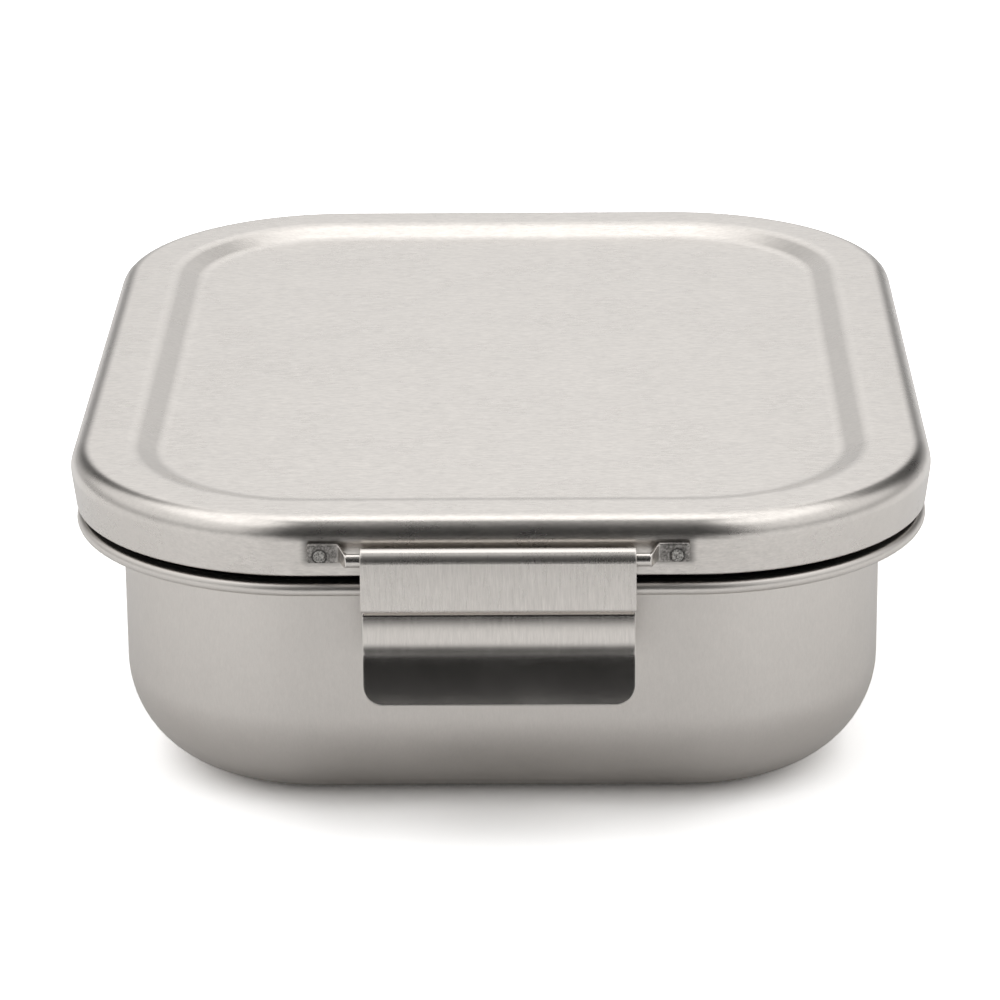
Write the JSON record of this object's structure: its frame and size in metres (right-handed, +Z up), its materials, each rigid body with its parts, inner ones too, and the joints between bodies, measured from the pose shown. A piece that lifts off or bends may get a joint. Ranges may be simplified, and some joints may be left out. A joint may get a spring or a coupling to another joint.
{
  "type": "lunch box",
  "caption": "Rectangular pressed-steel lunch box with rounded corners, a rolled rim, a sealed lift-off lid and a folded clip on a welded hinge wire at each end.",
  "frame": {"origin": "middle of the underside of the tub's base", "axes": "+X across the box, +Y along it from the front clip to the rear clip, +Z up"},
  "size_m": [0.16, 0.2134, 0.0615],
  "materials": {
    "tub_steel": "satin, fine upright brushing",
    "lid_steel": "satin, fine brushing across the box",
    "clip_steel": "semi-bright, fine upright brushing",
    "wire_steel": "semi-bright with polished edges",
    "weld_steel": "rough, dull",
    "seal_silicone": "matt silicone"
  },
  "bodies": {
    "tub": {"tub": "tub_steel"},
    "lid": {"lid": "lid_steel", "seal": "seal_silicone", "front_hinge_wire": "wire_steel", "front_left_weld": "weld_steel", "front_right_weld": "weld_steel", "rear_hinge_wire": "wire_steel", "rear_left_weld": "weld_steel", "rear_right_weld": "weld_steel"},
    "front_clip": {"front_clip": "clip_steel"},
    "rear_clip": {"rear_clip": "clip_steel"}
  },
  "joints": [
    {"name": "lid_lift", "type": "slide", "parent": "tub", "child": "lid", "axis": [0, 0, 1], "range_m": [0, 0.1]},
    {"name": "front_clip_swing", "type": "hinge", "parent": "lid", "child": "front_clip", "pos_m": [0, -0.1033, 0.0552], "axis": [-1, 0, 0], "range_deg": [0, 180]},
    {"name": "rear_clip_swing", "type": "hinge", "parent": "lid", "child": "rear_clip", "pos_m": [0, 0.1033, 0.0552], "axis": [1, 0, 0], "range_deg": [0, 180]}
  ]
}
